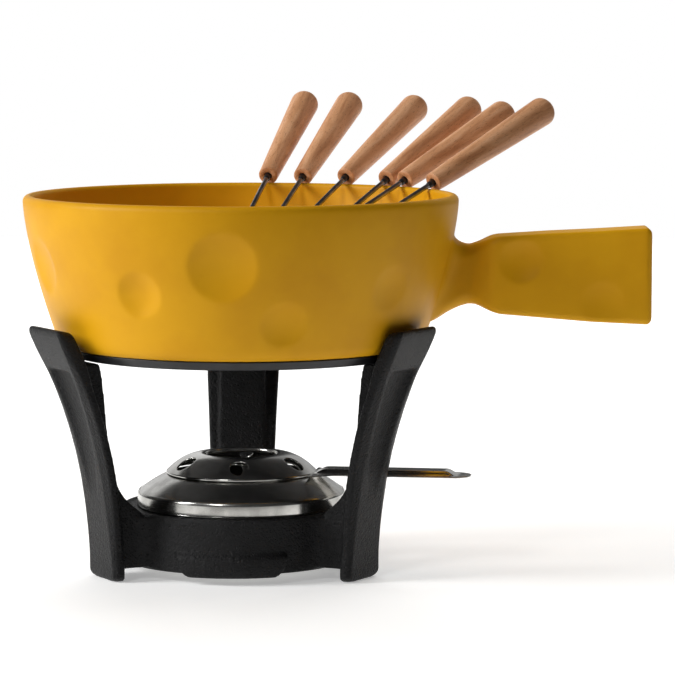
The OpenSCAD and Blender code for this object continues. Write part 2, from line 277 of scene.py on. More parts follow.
def makeCastIron():
    # Cast iron, sand cast and painted matt black: an even sand grain, small pits, edges worn a little greyer
    look = {"paint": "#080809", "dust": "#101011", "worn": "#202022", "grain": 1.25, "lump": 9}
    material, tree, shader = startMaterial("sandCastIron")
    place = addNode(tree, "TexCoord").outputs["Object"]
    lump = addNode(tree, "TexNoise", {"Vector": place, "Scale": 1 / (look["lump"] * mm), "Detail": 5.0,
                                      "Roughness": 0.6})
    colour = addNode(tree, "ValToRGB", {"Fac": lump.outputs["Fac"]},
                     [(0.35, linear(look["paint"])), (0.68, linear(look["dust"]))])
    edge = addNode(tree, "NewGeometry")
    wear = addNode(tree, "ValToRGB", {"Fac": edge.outputs["Pointiness"]},
                   [(0.53, (0, 0, 0, 1)), (0.64, (0.6, 0.6, 0.6, 1))])
    worn = addNode(tree, "MixRGB", {"Fac": wear.outputs["Color"], "Color1": colour.outputs["Color"],
                                    "Color2": linear(look["worn"])})
    tree.links.new(worn.outputs["Color"], shader.inputs["Base Color"])
    grain = addNode(tree, "TexNoise", {"Vector": place, "Scale": 1 / (look["grain"] * mm), "Detail": 3.0,
                                       "Roughness": 0.65})
    pits = addNode(tree, "TexVoronoi", {"Vector": place, "Scale": 1 / (1.7 * mm)})
    pitMask = addNode(tree, "MapRange", {"Value": pits.outputs["Distance"], "From Max": 0.35})
    relief = addNode(tree, "MixRGB", {"Fac": 0.35, "Color1": grain.outputs["Fac"],
                                      "Color2": pitMask.outputs["Result"]})
    bump = addNode(tree, "Bump", {"Height": relief.outputs["Color"], "Strength": 1.0, "Distance": 1.2 * mm})
    tree.links.new(bump.outputs["Normal"], shader.inputs["Normal"])
    rough = addNode(tree, "MapRange", {"Value": grain.outputs["Fac"], "To Min": 0.28, "To Max": 0.62})
    tree.links.new(rough.outputs["Result"], shader.inputs["Roughness"])
    shader.inputs["IOR"].default_value = 1.5
    shader.inputs["Specular IOR Level"].default_value = 0.22
    return material


def makeBlackBase():
    # Black heat-resistant enamel on the pot's base disc: satin, with rub marks from the ledges
    look = {"enamel": "#101011", "rubbed": "#26262a", "rub": 12}
    material, tree, shader = startMaterial("blackBaseEnamel")
    place = addNode(tree, "TexCoord").outputs["Object"]
    rub = addNode(tree, "TexNoise", {"Vector": place, "Scale": 1 / (look["rub"] * mm), "Detail": 6.0})
    colour = addNode(tree, "ValToRGB", {"Fac": rub.outputs["Fac"]},
                     [(0.4, linear(look["enamel"])), (0.75, linear(look["rubbed"]))])
    tree.links.new(colour.outputs["Color"], shader.inputs["Base Color"])
    rough = addNode(tree, "MapRange", {"Value": rub.outputs["Fac"], "To Min": 0.28, "To Max": 0.5})
    tree.links.new(rough.outputs["Result"], shader.inputs["Roughness"])
    grain = addNode(tree, "TexNoise", {"Vector": place, "Scale": 1 / (1.2 * mm)})
    bump = addNode(tree, "Bump", {"Height": grain.outputs["Fac"], "Strength": 0.12, "Distance": 0.2 * mm})
    tree.links.new(bump.outputs["Normal"], shader.inputs["Normal"])
    return material


def makePressedSteel():
    # Stainless steel sheet, pressed and polished: near mirror, with fine turning lines round the axis,
    # a few smears and a slightly uneven pressed surface
    look = {"steel": "#c9c8c4", "smeared": "#aaa9a5", "turning": 0.35, "smear": 14}
    material, tree, shader = startMaterial("polishedStainlessSteel")
    place = addNode(tree, "TexCoord").outputs["Object"]
    smear = addNode(tree, "TexNoise", {"Vector": place, "Scale": 1 / (look["smear"] * mm), "Detail": 5.0})
    colour = addNode(tree, "ValToRGB", {"Fac": smear.outputs["Fac"]},
                     [(0.38, linear(look["smeared"])), (0.6, linear(look["steel"]))])
    tree.links.new(colour.outputs["Color"], shader.inputs["Base Color"])
    rough = addNode(tree, "MapRange", {"Value": smear.outputs["Fac"], "From Min": 0.3, "From Max": 0.7,
                                       "To Min": 0.26, "To Max": 0.15})
    tree.links.new(rough.outputs["Result"], shader.inputs["Roughness"])
    # turning lines: noise that varies quickly along the radius and height, and slowly round the axis
    about = addNode(tree, "VectorMath", {0: place, 1: (burner["x"] * mm, 0, 0)}, operation="SUBTRACT")
    parts = addNode(tree, "SeparateXYZ", {"Vector": about.outputs["Vector"]})
    flat = addNode(tree, "CombineXYZ", {"X": parts.outputs["X"], "Y": parts.outputs["Y"]})
    radius = addNode(tree, "VectorMath", {0: flat.outputs["Vector"]}, operation="LENGTH")
    lines = addNode(tree, "CombineXYZ", {"X": radius.outputs["Value"], "Z": parts.outputs["Z"]})
    turning = addNode(tree, "TexNoise", {"Vector": lines.outputs["Vector"], "Detail": 2.0,
                                         "Scale": 1 / (look["turning"] * mm)})
    wave = addNode(tree, "TexNoise", {"Vector": place, "Scale": 1 / (9 * mm)})
    relief = addNode(tree, "MixRGB", {"Fac": 0.7, "Color1": turning.outputs["Fac"],
                                      "Color2": wave.outputs["Fac"]})
    bump = addNode(tree, "Bump", {"Height": relief.outputs["Color"], "Strength": 0.06, "Distance": 0.2 * mm})
    tree.links.new(bump.outputs["Normal"], shader.inputs["Normal"])
    shader.inputs["Metallic"].default_value = 1.0
    return material


def makeWireSteel():
    # Stainless wire, drawn and woven, blued and dulled by the flame
    look = {"wire": "#8f8e8a", "heated": "#5d5560"}
    material, tree, shader = startMaterial("wovenSteelWire")
    place = addNode(tree, "TexCoord").outputs["Object"]
    heat = addNode(tree, "TexNoise", {"Vector": place, "Scale": 1 / (11 * mm), "Detail": 3.0})
    colour = addNode(tree, "ValToRGB", {"Fac": heat.outputs["Fac"]},
                     [(0.35, linear(look["heated"])), (0.6, linear(look["wire"]))])
    tree.links.new(colour.outputs["Color"], shader.inputs["Base Color"])
    rough = addNode(tree, "MapRange", {"Value": heat.outputs["Fac"], "To Min": 0.55, "To Max": 0.28})
    tree.links.new(rough.outputs["Result"], shader.inputs["Roughness"])
    drawn = addNode(tree, "TexNoise", {"Vector": place, "Scale": 1 / (0.3 * mm)})
    bump = addNode(tree, "Bump", {"Height": drawn.outputs["Fac"], "Strength": 0.15, "Distance": 0.05 * mm})
    tree.links.new(bump.outputs["Normal"], shader.inputs["Normal"])
    shader.inputs["Metallic"].default_value = 1.0
    return material


def makePorousCeramic():
    # Fired porous ceramic, pressed from grit: off-white, open pores about half a millimetre across
    look = {"clay": "#d9d3c4", "stained": "#b9ad96", "pore": 0.8}
    material, tree, shader = startMaterial("porousFiredCeramic")
    place = addNode(tree, "TexCoord").outputs["Object"]
    stain = addNode(tree, "TexNoise", {"Vector": place, "Scale": 1 / (16 * mm), "Detail": 5.0})
    colour = addNode(tree, "ValToRGB", {"Fac": stain.outputs["Fac"]},
                     [(0.35, linear(look["stained"])), (0.6, linear(look["clay"]))])
    pores = addNode(tree, "TexVoronoi", {"Vector": place, "Scale": 1 / (look["pore"] * mm)})
    shade = addNode(tree, "MapRange", {"Value": pores.outputs["Distance"], "From Max": 0.4, "To Min": 0.55})
    pored = addNode(tree, "MixRGB", {"Fac": 1.0, "Color1": colour.outputs["Color"],
                                     "Color2": shade.outputs["Result"]}, blend_type="MULTIPLY")
    tree.links.new(pored.outputs["Color"], shader.inputs["Base Color"])
    bump = addNode(tree, "Bump", {"Height": pores.outputs["Distance"], "Strength": 0.7, "Distance": 0.3 * mm})
    tree.links.new(bump.outputs["Normal"], shader.inputs["Normal"])
    shader.inputs["Roughness"].default_value = 0.92
    return material


def makeRodSteel():
    # Stainless rod, drawn and polished: fine lines along it, darker where it was handled
    look = {"rod": "#b9bcbf", "dull": "#8a8d91"}
    material, tree, shader = startMaterial("drawnSteelRod")
    place = addNode(tree, "TexCoord").outputs["Object"]
    stretched = addNode(tree, "Mapping", {"Vector": place, "Scale": (1, 1, 0.02)})
    lines = addNode(tree, "TexNoise", {"Vector": stretched.outputs["Vector"], "Scale": 1 / (0.25 * mm),
                                       "Detail": 3.0})
    tone = addNode(tree, "TexNoise", {"Vector": place, "Scale": 1 / (12 * mm), "Detail": 4.0})
    colour = addNode(tree, "ValToRGB", {"Fac": tone.outputs["Fac"]},
                     [(0.35, linear(look["dull"])), (0.65, linear(look["rod"]))])
    tree.links.new(colour.outputs["Color"], shader.inputs["Base Color"])
    rough = addNode(tree, "MapRange", {"Value": lines.outputs["Fac"], "To Min": 0.26, "To Max": 0.44})
    tree.links.new(rough.outputs["Result"], shader.inputs["Roughness"])
    bump = addNode(tree, "Bump", {"Height": lines.outputs["Fac"], "Strength": 0.12, "Distance": 0.05 * mm})
    tree.links.new(bump.outputs["Normal"], shader.inputs["Normal"])
    shader.inputs["Metallic"].default_value = 1.0
    return material


def makeFerrulePlastic():
    # Black nylon, moulded: satin, with a faint grain and dust in it
    look = {"nylon": "#141415", "dusty": "#242427"}
    material, tree, shader = startMaterial("mouldedBlackNylon")
    place = addNode(tree, "TexCoord").outputs["Object"]
    dust = addNode(tree, "TexNoise", {"Vector": place, "Scale": 1 / (1.5 * mm), "Detail": 3.0})
    colour = addNode(tree, "ValToRGB", {"Fac": dust.outputs["Fac"]},
                     [(0.4, linear(look["nylon"])), (0.7, linear(look["dusty"]))])
    tree.links.new(colour.outputs["Color"], shader.inputs["Base Color"])
    rough = addNode(tree, "MapRange", {"Value": dust.outputs["Fac"], "To Min": 0.3, "To Max": 0.5})
    tree.links.new(rough.outputs["Result"], shader.inputs["Roughness"])
    bump = addNode(tree, "Bump", {"Height": dust.outputs["Fac"], "Strength": 0.15, "Distance": 0.1 * mm})
    tree.links.new(bump.outputs["Normal"], shader.inputs["Normal"])
    shader.inputs["IOR"].default_value = 1.53
    return material


def makeBeech(tone):
    # Beech, turned and oiled: pinkish brown, long soft growth bands, and the short darker flecks that
    # beech has, drawn about 0.4 mm wide so that they show
    look = {"light": "#dfae86", "mid": "#cd966b", "dark": "#ac744c", "fleck": "#82502f"}
    material, tree, shader = startMaterial("oiledBeech")
    place = addNode(tree, "TexCoord").outputs["Object"]
    # each handle is cut from its own place in the board
    shifted = addNode(tree, "Mapping", {"Vector": place, "Rotation": (0.04, 0.06, tone),
                                        "Location": (tone * 0.037, tone * 0.021, tone * 0.05)})
    along = addNode(tree, "Mapping", {"Vector": shifted.outputs["Vector"], "Scale": (1, 1, 0.09)})
    bands = addNode(tree, "TexNoise", {"Vector": along.outputs["Vector"], "Scale": 1 / (4.2 * mm),
                                       "Detail": 6.0, "Roughness": 0.55, "Distortion": 0.6})
    colour = addNode(tree, "ValToRGB", {"Fac": bands.outputs["Fac"]},
                     [(0.28, linear(look["dark"])), (0.72, linear(look["light"])),
                      (0.5, linear(look["mid"]))])
    dashes = addNode(tree, "Mapping", {"Vector": shifted.outputs["Vector"], "Scale": (1, 1, 0.16)})
    flecks = addNode(tree, "TexNoise", {"Vector": dashes.outputs["Vector"], "Scale": 1 / (0.42 * mm),
                                        "Detail": 1.0})
    fleckMask = addNode(tree, "ValToRGB", {"Fac": flecks.outputs["Fac"]},
                        [(0.60, (0, 0, 0, 1)), (0.72, (0.55, 0.55, 0.55, 1))])
    flecked = addNode(tree, "MixRGB", {"Fac": fleckMask.outputs["Color"], "Color1": colour.outputs["Color"],
                                       "Color2": linear(look["fleck"])})
    tree.links.new(flecked.outputs["Color"], shader.inputs["Base Color"])
    rough = addNode(tree, "MapRange", {"Value": bands.outputs["Fac"], "To Min": 0.42, "To Max": 0.6})
    tree.links.new(rough.outputs["Result"], shader.inputs["Roughness"])
    relief = addNode(tree, "MixRGB", {"Fac": 0.5, "Color1": bands.outputs["Fac"],
                                      "Color2": flecks.outputs["Fac"]})
    bump = addNode(tree, "Bump", {"Height": relief.outputs["Color"], "Strength": 0.22, "Distance": 0.15 * mm})
    tree.links.new(bump.outputs["Normal"], shader.inputs["Normal"])
    shader.inputs["IOR"].default_value = 1.48
    return material


def makeStudioFloor():
    # White frosted acrylic, as on a light table: matt, with a barely visible tooth, glowing from below
    material, tree, shader = startMaterial("frostedAcrylic")
    place = addNode(tree, "TexCoord").outputs["Object"]
    tooth = addNode(tree, "TexNoise", {"Vector": place, "Scale": 1 / (3 * mm)})
    colour = addNode(tree, "ValToRGB", {"Fac": tooth.outputs["Fac"]},
                     [(0.3, linear("#f4f4f3")), (0.7, linear("#f8f8f7"))])
    tree.links.new(colour.outputs["Color"], shader.inputs["Base Color"])
    shader.inputs["Roughness"].default_value = 0.9
    shader.inputs["Emission Color"].default_value = (1, 1, 1, 1)
    shader.inputs["Emission Strength"].default_value = 0.34
    return material


# ---- the pot

potLow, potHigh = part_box("pot_bowl")
bowl = {
    "rimRadius": potHigh.y / mm,
    "rimZ": potHigh.z / mm,
    "lowZ": potLow.z / mm,
    "x": potLow.x / mm + potHigh.y / mm,  # the pot's own axis
    "reach": potHigh.x / mm - (potLow.x / mm + potHigh.y / mm),
    "footRadius": 93.9,
    "turnHeight": 7.9,
    "wall": 5.0,
    "outerRound": 3.0,
    "innerRound": 2.0,
    "swell": 1.45,
    "floorThick": 6.0,
    "floorFillet": 12.0,
    "columns": 480,
    "rows": 46,
    # angle, height, radius and depth of each hollow pressed into the outside
    "hollows": [(-156.5, 156, 14.5, 2.7), (-116.5, 146, 11.6, 2.9), (-92.5, 160, 17, 3.3),
                (-75.5, 132, 11.5, 2.4), (-42.5, 147.5, 11.7, 1.5), (34, 158, 14, 2.2),
                (62, 138, 11.5, 1.8), (92, 157, 16.5, 2.6), (121, 136, 11.5, 1.8),
                (150, 159, 13, 2.2), (178, 139, 12, 1.8)],
}
handle = {
    "columns": 26,
    "rowsFrom": 3,
    "rowsTo": 34,
    "rootFillet": 8.0,
    # X from the pot's axis, then a height or half a thickness
    "top": [(100, 165.4), (107, 165.2), (109.7, 164.8), (115, 164.2), (120.3, 165.9), (125.7, 168.1),
            (129.2, 168.8), (154.5, 170.4), (178.1, 171.5), (205.6, 173.1)],
    "bottom": [(93, 124.4), (98.7, 127.4), (103, 130), (109.1, 133), (114.3, 134.6), (117.9, 134.4),
               (124.9, 131.2), (129.2, 129.8), (175.7, 125.9), (205.6, 124.5)],
    "half": [(90, 10.4), (117, 10), (126, 13.5), (206, 13.5)],
    "corner": [(90, 7), (114, 7), (128, 2.8), (206, 2.8)],
    "endRound": 3.4,
    # X, height, radius, depth and side
    "hollows": [(140.2, 156.6, 11.2, 2.3, -1), (181.1, 135.6, 11, 1.3, -1), (160, 150, 11.2, 1.8, 1)],
}


def bowlRadius(z):
    # the outside of the bowl's wall: steeper towards the rim
    turn = bowl["lowZ"] + bowl["turnHeight"]
    t = np.clip((z - turn) / (bowl["rimZ"] - bowl["outerRound"] - turn), 0, 1)
    return bowl["footRadius"] + (bowl["rimRadius"] - bowl["footRadius"]) * (1 - (1 - t) ** bowl["swell"])


def hollowDepth(distance, radius, depth, softness=0.13):
    # a ball pressed in, with a soft edge
    ball = (radius ** 2 + depth ** 2) / (2 * depth)
    flat = np.sqrt(np.maximum(ball ** 2 - np.minimum(distance, ball) ** 2, 0)) - (ball - depth)
    pressed = 0.5 * (flat + np.sqrt(flat ** 2 + 4 * softness ** 2))
    return pressed * np.clip((radius * 1.9 - distance) / (radius * 0.5), 0, 1)


def bowlOutside(angle, z):
    # a point of the outside, with the hollows pressed in
    r = bowlRadius(z)
    sink = np.zeros_like(r * angle)
    for turn, height, radius, depth in bowl["hollows"]:
        centre = bowlRadius(np.array(float(height)))
        away = np.radians(turn) - angle
        away = (away + np.pi) % (2 * np.pi) - np.pi
        distance = np.hypot(away * centre, (z - height) * 1.03)
        sink = sink + hollowDepth(distance, radius, depth)
    return r - sink


def roundedSection(a, b, half, low, high, corner):
    # (a, b) runs round a square from -1 to 1, and lands on a rounded rectangle
    y, z = a * half, (low + high) / 2 + b * (high - low) / 2
    innerY = np.clip(y, corner - half, half - corner)
    innerZ = np.clip(z, low + corner, high - corner)
    dy, dz = y - innerY, z - innerZ
    size = np.maximum(np.hypot(dy, dz), 1e-9)
    return innerY + dy / size * corner, innerZ + dz / size * corner


def makePot(glaze):
    columns, rows = bowl["columns"], bowl["rows"]
    low, turn = bowl["lowZ"], bowl["lowZ"] + bowl["turnHeight"]
    top = bowl["rimZ"] - bowl["outerRound"]
    angles = np.arange(columns) * 2 * np.pi / columns
    points, faces, rings = [], [], []

    def addRing(r, z):
        start = len(points)
        r = np.broadcast_to(r, angles.shape)
        for a, radius in zip(angles, r):
            points.append(((bowl["x"] + radius * math.cos(a)) * mm, radius * math.sin(a) * mm, z * mm))
        rings.append(list(range(start, start + columns)))

    # the soft turn under the bowl, then its side
    foot = bowl["footRadius"]
    for inward, up in ((7.2, 0.0), (5.6, 0.25), (4.1, 0.95), (2.8, 2.1), (1.7, 3.7), (0.8, 5.7)):
        addRing(foot - inward, low + up)
    sideStart = len(rings)
    for k in range(rows + 1):
        z = turn + (top - turn) * k / rows
        addRing(bowlOutside(angles, np.full_like(angles, z)), z)
    # over the rim
    outer, inner = bowl["outerRound"], bowl["innerRound"]
    crown = bowl["rimRadius"] - outer
    for t in np.radians([16, 32, 48, 63, 77, 90]):
        addRing(crown + outer * math.cos(t), top + outer * math.sin(t))
    crown = bowl["rimRadius"] - bowl["wall"] + inner
    for t in np.radians([104, 120, 138, 158]):
        addRing(crown + inner * math.cos(t), bowl["rimZ"] - inner + inner * math.sin(t))
    # down the inside to the floor
    fillet, floorZ = bowl["floorFillet"], low + bowl["floorThick"]
    corner = floorZ + fillet
    for k in range(40, -1, -1):
        z = corner + (bowl["rimZ"] - inner - corner) * k / 40
        addRing(bowlRadius(z) - bowl["wall"], z)
    cornerR = bowlRadius(corner) - bowl["wall"] - fillet
    for t in np.radians([-12, -26, -40, -54, -66, -78, -90]):
        addRing(cornerR + fillet * math.cos(t), corner + fillet * math.sin(t))

    # the handle leaves through a window in the side, at angle 0
    window = handle["columns"] // 2
    first, last = sideStart + handle["rowsFrom"], sideStart + handle["rowsTo"]
    for k in range(len(rings) - 1):
        for i in range(columns):
            inWindow = (i < window or i >= columns - window) and first <= k < last
            if not inWindow:
                j = (i + 1) % columns
                faces.append([rings[k][i], rings[k][j], rings[k + 1][j], rings[k + 1][i]])
    quarter = columns // 4
    for ring in (rings[0], rings[-1]):
        start = columns * 5 // 8
        fillLoop(points, faces, ring[start:] + ring[:start], quarter, quarter)

    # the loop round the window, from its lower corner, and the matching place on a square
    across, up = handle["columns"], handle["rowsTo"] - handle["rowsFrom"]
    loop, square = [], []
    for i in range(across):
        loop.append(rings[first][(i - window) % columns])
        square.append((2 * i / across - 1, -1))
    for j in range(up):
        loop.append(rings[first + j][window])
        square.append((1, 2 * j / up - 1))
    for i in range(across, 0, -1):
        loop.append(rings[last][(i - window) % columns])
        square.append((2 * i / across - 1, 1))
    for j in range(up, 0, -1):
        loop.append(rings[first + j][-window % columns])
        square.append((-1, 2 * j / up - 1))
    a, b = np.array(square).T
    edge = np.array([points[i] for i in loop]) / mm
    topLine, bottomLine = softCurve(handle["top"], 3.5), softCurve(handle["bottom"], 3.5)
    halfLine, cornerLine = softCurve(handle["half"], 7), softCurve(handle["corner"], 6)
    fillet = handle["rootFillet"]
    middleX = 102.0
    outs = [fillet * (1 - math.cos(t)) for t in np.radians(np.linspace(14, 90, 7))]
    outs += list(np.linspace(outs[-1], bowl["reach"] - handle["endRound"] - middleX, 62)[1:])

    def place(out, share, y, z):
        # how far out a point of this section lies: along the wall near the root, then flat
        wallX = np.sqrt(np.maximum(bowlRadius(z) ** 2 - y ** 2, 0))
        return (1 - share) * (wallX + out) + share * (middleX + out)

    previous = loop
    for out in outs:
        t = min(max((out - 3) / 26, 0), 1)
        share = ease(t)
        high, lowEdge = 165.0, 130.0
        for _ in range(12):
            high = topLine(place(out, share, 0.0, high))
            lowEdge = bottomLine(place(out, share, 0.0, lowEdge))
        x0 = place(out, share, 0.0, (high + lowEdge) / 2)
        y, z = roundedSection(a, b, halfLine(x0), lowEdge, high, cornerLine(x0))
        if out < fillet:
            root = 1 - math.sqrt(max(0, 1 - (1 - out / fillet) ** 2))
            y = root * edge[:, 1] + (1 - root) * y
            z = root * edge[:, 2] + (1 - root) * z
        x = place(out, share, y, z)
        for hx, hz, radius, depth, side in handle["hollows"]:
            onFace = np.clip((y * side - halfLine(x) + 2.5) / 2.5, 0, 1)
            y = y - side * onFace * hollowDepth(np.hypot(x - hx, z - hz), radius, depth, 0.06)
        start = len(points)
        points += [((bowl["x"] + p) * mm, q * mm, r * mm) for p, q, r in zip(x, y, z)]
        current = list(range(start, start + len(loop)))
        for i in range(len(loop)):
            n = (i + 1) % len(loop)
            faces.append([previous[i], previous[n], current[n], current[i]])
        previous = current
    # round the handle's end and close it
    size, reach = handle["endRound"], bowl["reach"]
    half, lowEdge, high = float(halfLine(reach)), float(bottomLine(reach)), float(topLine(reach))
    for t in np.radians([18, 36, 54, 72, 90]):
        shrink = size * (1 - math.cos(t))
        y, z = roundedSection(a, b, half - shrink, lowEdge + shrink, high - shrink,
                              max(float(cornerLine(reach)) - shrink, 1.6))
        x = reach - size + size * math.sin(t)
        start = len(points)
        points += [((bowl["x"] + x) * mm, q * mm, r * mm) for q, r in zip(y, z)]
        current = list(range(start, start + len(loop)))
        for i in range(len(loop)):
            n = (i + 1) % len(loop)
            faces.append([previous[i], previous[n], current[n], current[i]])
        previous = current
    fillLoop(points, faces, previous, across, up)
    piece = makePiece("stonewarePot", points, faces, glaze)
    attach(piece, "pot")
    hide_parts("pot_bowl")


def makePotBase(enamel):
    low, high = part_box("pot_base")
    bottom, top, wide = low.z / mm, high.z / mm, (high.x - low.x) / 2 / mm
    outline = roundCorners([(0, bottom, 0), (wide - 4.6, bottom, 0), (wide - 2.6, bottom, 0.9),
                            (wide, top - 0.5, 0.4), (wide - 0.4, top, 0.2), (0, top, 0)])
    # a shallow turned recess under it, as on a ground base
    ring = roundCorners([(0, bottom + 0.6, 0), (wide - 14, bottom + 0.6, 0.5), (wide - 13, bottom, 0.3)])
    piece = lathe("potBaseDisc", ring + outline[1:], enamel, (low.x + high.x) / 2, 240)
    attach(piece, "pot")
    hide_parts("pot_base")


# ---- the stand

stand = {
    "angles": [210, 330, 90],
    "top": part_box("leg_back")[1].z / mm,
    "ledge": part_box("pot_base")[0].z / mm - 0.3,
    "ringRadius": 57.5,
    "ringTop": 32.8,
    "ringLow": 5.0,
    "bore": 49.0,
    "step": 55.4,
    "stepZ": 31.9,
    "outer": [(0, 75.3), (2.5, 75.7), (9, 75.8), (23, 77), (36, 78.5), (49, 80.3), (62, 82.9), (74, 86.1),
              (86, 89.9), (96, 93.7), (103, 96.6), (112, 101.1), (122, 106.1), (125, 107.2)],
    "faceHalf": [(0, 12), (2.5, 13.7), (20, 12.5), (40, 11.8), (62, 11.8), (81, 12.5), (96, 14.3),
                 (110, 16.5), (122, 17.5)],
    "sideHalf": [(0, 15), (3, 15.8), (8, 15.6), (14, 15), (20, 15.5), (45, 17), (70, 18), (90, 19),
                 (125, 19)],
    "depth": [(0, 6.1), (96, 6.3), (112, 9), (125, 9)],
    "grooveDepth": [(40, 0), (58, 1.3), (95, 3.0), (104.6, 3.2), (105.6, 0)],
    "grooveHalf": [(40, 4), (60, 7.5), (106, 12)],
    "bevel": 3.4,
    "headRound": 3.2,
    "headLean": 1.9,
    "ribHalf": 12.0,
    "ribInside": [(31, 56), (34.5, 60), (38, 65), (43.5, 69.8), (50, 73), (60, 75.4), (70, 77), (86, 78.3),
                  (96, 79.3), (104, 80.4), (109, 81.3)],
    "voxel": 0.72,
}


def turned(points, angle):
    c, s = math.cos(math.radians(angle)), math.sin(math.radians(angle))
    return [(x * c - y * s, x * s + y * c, z) for x, y, z in points]


def prism(outline, low, high, upright=False):
    # an outline in mm pushed from low to high: along Z, or along Y when it is (radius, height)
    points = []
    for level in (low, high):
        points += [(x * mm, level * mm, y * mm) if upright else (x * mm, y * mm, level * mm)
                   for x, y in outline]
    n = len(outline)
    faces = [list(range(n)), list(range(n, 2 * n))]
    faces += [[i, (i + 1) % n, n + (i + 1) % n, n + i] for i in range(n)]
    return points, faces


def makeLegPlate():
    outer = softCurve(stand["outer"], 8)
    face, side = softCurve(stand["faceHalf"], 6), softCurve(stand["sideHalf"], 6)
    depth = softCurve(stand["depth"], 8)
    groove, grooveHalf = softCurve(stand["grooveDepth"], 1.2), softCurve(stand["grooveHalf"], 6)
    shares = np.linspace(-1, 1, 25)
    heights = list(np.arange(0, stand["top"] - 6, 1.0)) + list(stand["top"] - 6 + 6 * np.sin(np.radians(
        np.linspace(0, 90, 13))))
    points, rows = [], []
    for z in heights:
        # the head's top and the foot are rounded off
        fromTop = max(0.0, z - (stand["top"] - stand["headRound"])) / stand["headRound"]
        pull = stand["headRound"] * (1 - math.sqrt(max(0.0, 1 - fromTop ** 2)))
        foot = 3.4 * (1 - math.sqrt(max(0.0, 1 - max(0.0, 1 - z / 3.4) ** 2)))
        r, f, w = float(outer(z)) - 0.3 * foot, float(face(z)) - pull - foot, float(side(z)) - pull - foot
        d, g, gh = float(depth(z)), float(groove(z)), float(grooveHalf(z))
        thin = min(pull * 0.55, d / 2 - 0.6)
        section = []
        for t in shares:
            y = t * f
            dip = g * float(np.clip((gh - abs(y)) / 2.2 + 0.35, 0, 1)) * (1 - 0.25 * (y / max(gh, 1)) ** 2)
            section.append((r - thin - max(dip, 0), y))
        section += [(r - stand["bevel"] * 0.55, w - 0.2), (r - stand["bevel"], w), (r - d + 1 + thin, w),
                    (r - d + thin, w - 1), (r - d + thin, 1 - w), (r - d + 1 + thin, -w),
                    (r - stand["bevel"], -w), (r - stand["bevel"] * 0.55, 0.2 - w)]
        # the head's top leans, so that its front edge stands higher
        lean = stand["headLean"] * max(0.0, (z - 112) / (stand["top"] - 112)) ** 2
        start = len(points)
        points += [(x * mm, y * mm, (z + lean * float(np.clip((x - r + d) / d, 0, 1))) * mm)
                   for x, y in section]
        rows.append(list(range(start, start + len(section))))
    faces = [rows[0], rows[-1]]
    for low, high in zip(rows, rows[1:]):
        for i in range(len(low)):
            n = (i + 1) % len(low)
            faces.append([low[i], low[n], high[n], high[i]])
    return points, faces


def makeStand(iron):
    ledge, ringR = stand["ledge"], stand["ringRadius"]
    parts = []
    inside = softCurve(stand["ribInside"], 10)
    rib = [(94, ledge), (82, ledge), (81.5, ledge - 0.5)]
    rib += [(float(inside(z)), z) for z in np.arange(107.5, 31.5, -1.5)]
    rib += [(56.6, 31), (56.6, 6), (73, 6), (74.5, 30), (80.5, 68), (87.5, 90)]
    plate = makeLegPlate()
    fillet = 12
    out, side = ringR + fillet, stand["ribHalf"] + fillet
    x = math.sqrt(out ** 2 - side ** 2)
    start, end = math.atan2(-side, -x), -math.pi / 2
    flare = [(ringR - 5, 0), (ringR - 5, side * ringR / out)]
    flare += [(x + fillet * math.cos(t), side + fillet * math.sin(t)) for t in np.linspace(start, end, 9)]
    flare += [(x, 0)]
    for angle in stand["angles"]:
        parts.append((turned(plate[0], angle), plate[1]))
        solid = prism(rib, -stand["ribHalf"], stand["ribHalf"], True)
        parts.append((turned(solid[0], angle), solid[1]))
        solid = prism(flare + [(p, -q) for p, q in reversed(flare[1:-1])], 6.5, stand["ringTop"] - 1.2)
        parts.append((turned(solid[0], angle), solid[1]))
        # thicker foot of the ring's wall, opposite the leg, with its lower ends sloped
        block = []
        across = np.linspace(-1, 1, 33)
        for z, half, r in ((3.4, 22.0, 58.2), (4.6, 24.4, 59.2), (8.0, 27.6, 59.8), (13.2, 29.0, 59.8),
                           (15.4, 28.4, 58.0)):
            ring = [(r, t * half / r) for t in across] + [(54.0, t * half / r) for t in across[::-1]]
            block.append([(p * math.cos(q) * mm, p * math.sin(q) * mm, z * mm) for p, q in ring])
        n = len(block[0])
        points = [p for ring in block for p in ring]
        faces = [list(range(n)), list(range(4 * n, 5 * n))]
        faces += [[k * n + i, k * n + (i + 1) % n, (k + 1) * n + (i + 1) % n, (k + 1) * n + i]
                  for k in range(4) for i in range(n)]
        parts.append((turned(points, angle + 180), faces))
    wall = roundCorners([(stand["bore"], stand["ringLow"], 0.8), (ringR, stand["ringLow"], 1.2),
                         (ringR, stand["ringTop"], 0.9), (stand["step"], stand["ringTop"], 0.5),
                         (stand["step"], stand["stepZ"], 0), (stand["bore"], stand["stepZ"], 0.6)])
    parts.append(latheMesh(wall, 240, True))
    points, faces = joinParts(parts)
    piece = makePiece("castStand", points, faces, iron)
    # the pieces grow into one casting, with its edges and inner corners softened as sand leaves them
    grow = piece.modifiers.new("casting", "REMESH")
    grow.mode, grow.voxel_size, grow.use_smooth_shade = "VOXEL", stand["voxel"] * mm, True
    soften = piece.modifiers.new("soften", "SMOOTH")
    soften.factor, soften.iterations = 0.5, 5
    settle(piece)
    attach(piece, "stand")
    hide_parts("cradle_ring", "leg_left", "leg_right", "leg_back")


# ---- the burner

